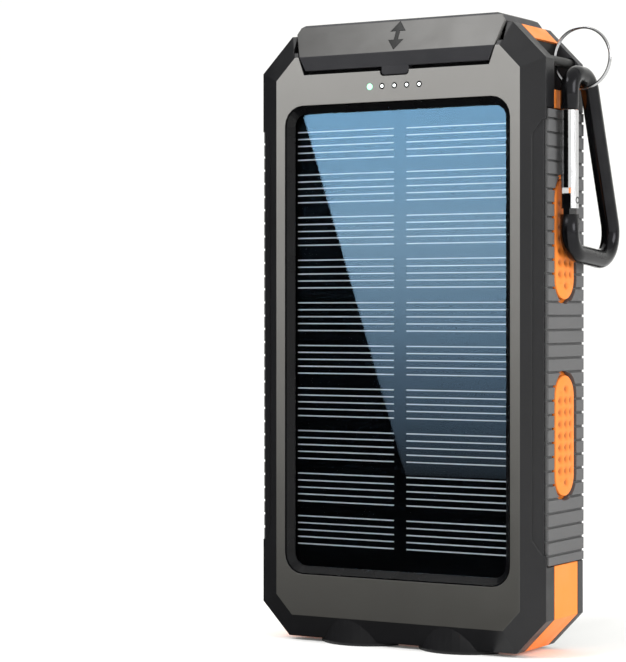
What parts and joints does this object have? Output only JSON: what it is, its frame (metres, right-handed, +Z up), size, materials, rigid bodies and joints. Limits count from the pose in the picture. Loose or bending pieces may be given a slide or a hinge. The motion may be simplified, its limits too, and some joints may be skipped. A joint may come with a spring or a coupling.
{
  "type": "solar power bank",
  "caption": "Rugged solar phone charger with port flap, torch lamps, compass, split ring and carabiner.",
  "frame": {"origin": "centre of the whole footprint at the plane of the lamp rims that it stands on, ring and carabiner included", "axes": "+Z up towards the port flap, -Y out of the solar window, +X towards the side with the ring and carabiner"},
  "size_m": [0.0892, 0.034, 0.151],
  "materials": {
    "grey_plastic": "satin",
    "charcoal_plastic": "satin",
    "black_plastic": "gloss",
    "orange_plastic": "satin",
    "grip_rubber": "matte",
    "orange_rubber": "satin",
    "black_rubber": "matte",
    "clear_plastic": "clear",
    "solar_cell": "gloss",
    "steel": "bright",
    "reflector_chrome": "mirror",
    "black_aluminium": "gloss anodised",
    "board": "satin",
    "cell_film": "satin",
    "lamp_phosphor": "matte",
    "red_insulation": "satin"
  },
  "bodies": {
    "housing": {"battery_cell": "cell_film", "board_screw_left": "steel", "board_screw_right": "steel", "compass_cup": "black_plastic", "compass_dome": "clear_plastic", "compass_pivot": "steel", "foam_pad": "black_rubber", "front_cover": "grey_plastic", "grip_pad_left_lower": "orange_rubber", "grip_pad_left_upper": "orange_rubber", "grip_pad_right_lower": "orange_rubber", "grip_pad_right_upper": "orange_rubber", "hinge_pin": "steel", "lamp_board": "board", "lamp_chip_left": "lamp_phosphor", "lamp_chip_right": "lamp_phosphor", "lamp_lens_left": "clear_plastic", "lamp_lens_right": "clear_plastic", "lamp_reflector_left": "reflector_chrome", "lamp_reflector_right": "reflector_chrome", "light_guide": "clear_plastic", "main_board": "board", "mid_frame": "orange_plastic", "rear_cover": "charcoal_plastic", "ring_pin": "steel", "side_grip_left": "grip_rubber", "side_grip_right": "grip_rubber", "solar_lead_minus": "black_rubber", "solar_lead_plus": "red_insulation", "solar_panel": "solar_cell", "solar_window": "clear_plastic", "tact_switch": "black_plastic", "usb_a_left": "steel", "usb_a_right": "steel", "usb_c_middle": "steel", "window_rim": "black_plastic"},
    "flap": {"port_flap": "charcoal_plastic", "flap_seal": "black_rubber"},
    "ring": {"split_ring": "steel"},
    "carabiner": {"carabiner_body": "black_aluminium", "gate_rivet": "steel"},
    "gate": {"carabiner_gate": "steel"},
    "button": {"power_button": "charcoal_plastic"},
    "compass_needle": {"compass_card": "steel"}
  },
  "joints": [
    {"name": "flap_hinge", "type": "hinge", "parent": "housing", "child": "flap", "pos_m": [-0.00512, 0.0055, 0.1466], "axis": [-1, 0, 0], "range_deg": [0, 130]},
    {"name": "ring_swing", "type": "hinge", "parent": "housing", "child": "ring", "pos_m": [0.03168, -0.0012, 0.1399], "axis": [0, -1, 0], "range_deg": [0, 20]},
    {"name": "carabiner_swing", "type": "hinge", "parent": "ring", "child": "carabiner", "pos_m": [0.03687, -0.0012, 0.13428], "axis": [1, 0, 0], "range_deg": [-35, 45]},
    {"name": "gate_hinge", "type": "hinge", "parent": "carabiner", "child": "gate", "pos_m": [0.03687, -0.008, 0.10678], "axis": [-1, 0, 0], "range_deg": [0, 28], "stiffness_Nm_per_rad": 0.02, "springref_deg": -5.73},
    {"name": "button_press", "type": "slide", "parent": "housing", "child": "button", "axis": [1, 0, 0], "range_m": [0, 0.0004], "stiffness_N_per_m": 800},
    {"name": "compass_turn", "type": "hinge", "parent": "housing", "child": "compass_needle", "pos_m": [-0.00512, 0.0047, 0.1289], "axis": [0, 1, 0], "continuous": true}
  ]
}
